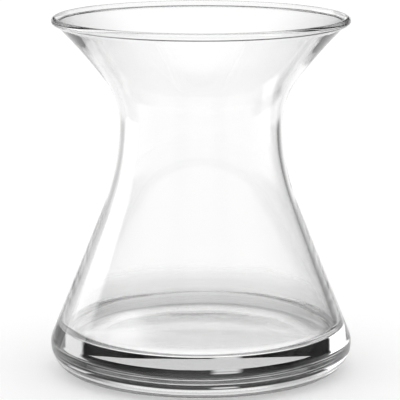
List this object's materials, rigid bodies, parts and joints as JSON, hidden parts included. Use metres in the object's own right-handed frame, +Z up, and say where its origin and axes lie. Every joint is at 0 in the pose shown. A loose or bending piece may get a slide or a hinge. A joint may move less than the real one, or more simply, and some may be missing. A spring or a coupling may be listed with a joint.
{
  "type": "hyacinth forcing vase",
  "caption": "Clear glass hyacinth forcing vase: wide thick-footed water chamber, tight neck and an open funnel that cradles the bulb above the water.",
  "frame": {"origin": "centre of the foot, on the surface that the vase stands on", "axes": "+Z up along the vase's axis of turning, from the foot to the mouth; X and Y are alike"},
  "size_m": [0.106, 0.106, 0.125],
  "materials": {
    "clear_glass": "clear polished soda-lime glass, smooth inside and out"
  },
  "bodies": {
    "root": {"glass_vase": "clear_glass"}
  },
  "joints": []
}
